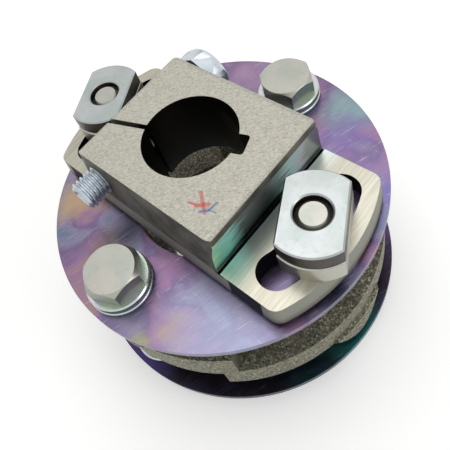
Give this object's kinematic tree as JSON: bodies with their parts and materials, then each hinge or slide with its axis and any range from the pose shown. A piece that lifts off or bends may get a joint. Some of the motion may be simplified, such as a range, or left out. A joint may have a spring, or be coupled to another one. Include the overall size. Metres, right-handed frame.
{
  "type": "flexible disc coupling",
  "caption": "Flexible disc drive coupling with a split clamp hub, slotted ears, packs of thin steel discs and a cast spider between them.",
  "frame": {"origin": "on the coupling axis, in the plane of the lowest bolt heads", "axes": "+Z along the coupling axis towards the clamp hub, +X through the right ear bolt"},
  "size_m": [0.1286, 0.128, 0.0968],
  "materials": {
    "forged_hub": "forged, top blasted and ears milled, thin clear zinc",
    "spider_casting": "grainy as-cast iron",
    "disc_steel": "spring steel with violet iridescent zinc passivation",
    "washer_steel": "bright zinc",
    "nut_steel": "satin zinc",
    "bolt_steel": "bright zinc"
  },
  "bodies": {
    "root": {"clamp_bolt": "bolt_steel", "clamp_hub": "forged_hub", "disc_bolt_far": "bolt_steel", "disc_bolt_near": "bolt_steel", "disc_bolt_washer_far": "washer_steel", "disc_bolt_washer_near": "washer_steel", "disc_seat_washer_far": "washer_steel", "disc_seat_washer_near": "washer_steel", "ear_bolt_left": "bolt_steel", "ear_bolt_right": "bolt_steel", "ear_bolt_washer_left": "washer_steel", "ear_bolt_washer_right": "washer_steel", "ear_nut_left": "nut_steel", "ear_nut_right": "nut_steel", "ear_plate_left": "nut_steel", "ear_plate_right": "nut_steel", "ear_spacer_left": "washer_steel", "ear_spacer_right": "washer_steel", "flange_bolt_far": "bolt_steel", "flange_bolt_near": "bolt_steel", "flange_bolt_washer_far": "washer_steel", "flange_bolt_washer_near": "washer_steel", "flange_nut_far": "nut_steel", "flange_nut_near": "nut_steel", "lower_bolt_left": "bolt_steel", "lower_bolt_right": "bolt_steel", "lower_bolt_washer_left": "washer_steel", "lower_bolt_washer_right": "washer_steel", "lower_disc_1": "disc_steel", "lower_disc_2": "disc_steel", "lower_disc_3": "disc_steel", "lower_disc_4": "disc_steel", "lower_disc_5": "disc_steel", "lower_lug_washer_left": "washer_steel", "lower_lug_washer_right": "washer_steel", "lower_seat_washer_left": "washer_steel", "lower_seat_washer_right": "washer_steel", "spider": "spider_casting", "upper_disc_1": "disc_steel", "upper_disc_2": "disc_steel", "upper_disc_3": "disc_steel", "upper_disc_4": "disc_steel", "upper_disc_5": "disc_steel", "upper_lug_washer_far": "washer_steel", "upper_lug_washer_near": "washer_steel"}
  },
  "joints": []
}
